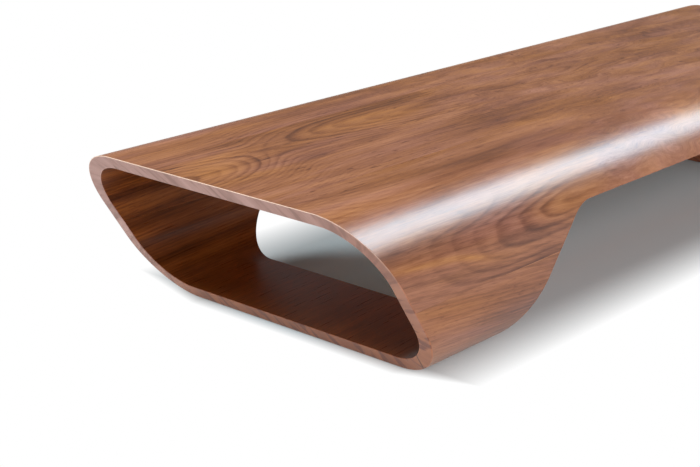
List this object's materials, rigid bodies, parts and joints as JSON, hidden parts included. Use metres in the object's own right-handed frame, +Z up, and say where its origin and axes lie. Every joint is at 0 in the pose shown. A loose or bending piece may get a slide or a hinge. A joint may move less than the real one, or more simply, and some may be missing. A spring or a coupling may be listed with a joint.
{
  "type": "waterfall coffee table",
  "caption": "Low moulded-plywood coffee table in walnut veneer: a rounded tube with slanted ends, open at the sides, so the top flows down into loop feet at each end.",
  "frame": {"origin": "on the floor under the middle of the table", "axes": "+X along the table away from the near end, +Y across it to the left as seen from the near end, +Z up"},
  "size_m": [1.725, 0.652, 0.28],
  "materials": {
    "walnut_veneer": "satin lacquered walnut veneer, grain along the table",
    "walnut_edge": "satin lacquered walnut edge strip, grain across the edge",
    "plywood_core": "glued cross-laminated plywood, bare",
    "beech_spline": "planed beech",
    "glide_nylon": "matt nylon",
    "steel": "plain wire nail"
  },
  "bodies": {
    "root": {"far_end_band_over": "walnut_edge", "far_end_band_under": "walnut_edge", "far_foot_inner_band": "walnut_edge", "far_foot_lining_veneer": "walnut_veneer", "far_foot_outer_veneer": "walnut_veneer", "far_foot_shell": "plywood_core", "glide_nails": "steel", "glide_pads": "glide_nylon", "left_opening_band": "walnut_edge", "near_end_band_over": "walnut_edge", "near_end_band_under": "walnut_edge", "near_foot_inner_band": "walnut_edge", "near_foot_lining_veneer": "walnut_veneer", "near_foot_outer_veneer": "walnut_veneer", "near_foot_shell": "plywood_core", "right_opening_band": "walnut_edge", "spline_far_left": "beech_spline", "spline_far_right": "beech_spline", "spline_near_left": "beech_spline", "spline_near_right": "beech_spline", "top_veneer_centre_leaf": "walnut_veneer", "top_veneer_left_leaf": "walnut_veneer", "top_veneer_right_leaf": "walnut_veneer", "underside_veneer_centre_leaf": "walnut_veneer", "underside_veneer_left_leaf": "walnut_veneer", "underside_veneer_right_leaf": "walnut_veneer", "upper_shell": "plywood_core"}
  },
  "joints": []
}
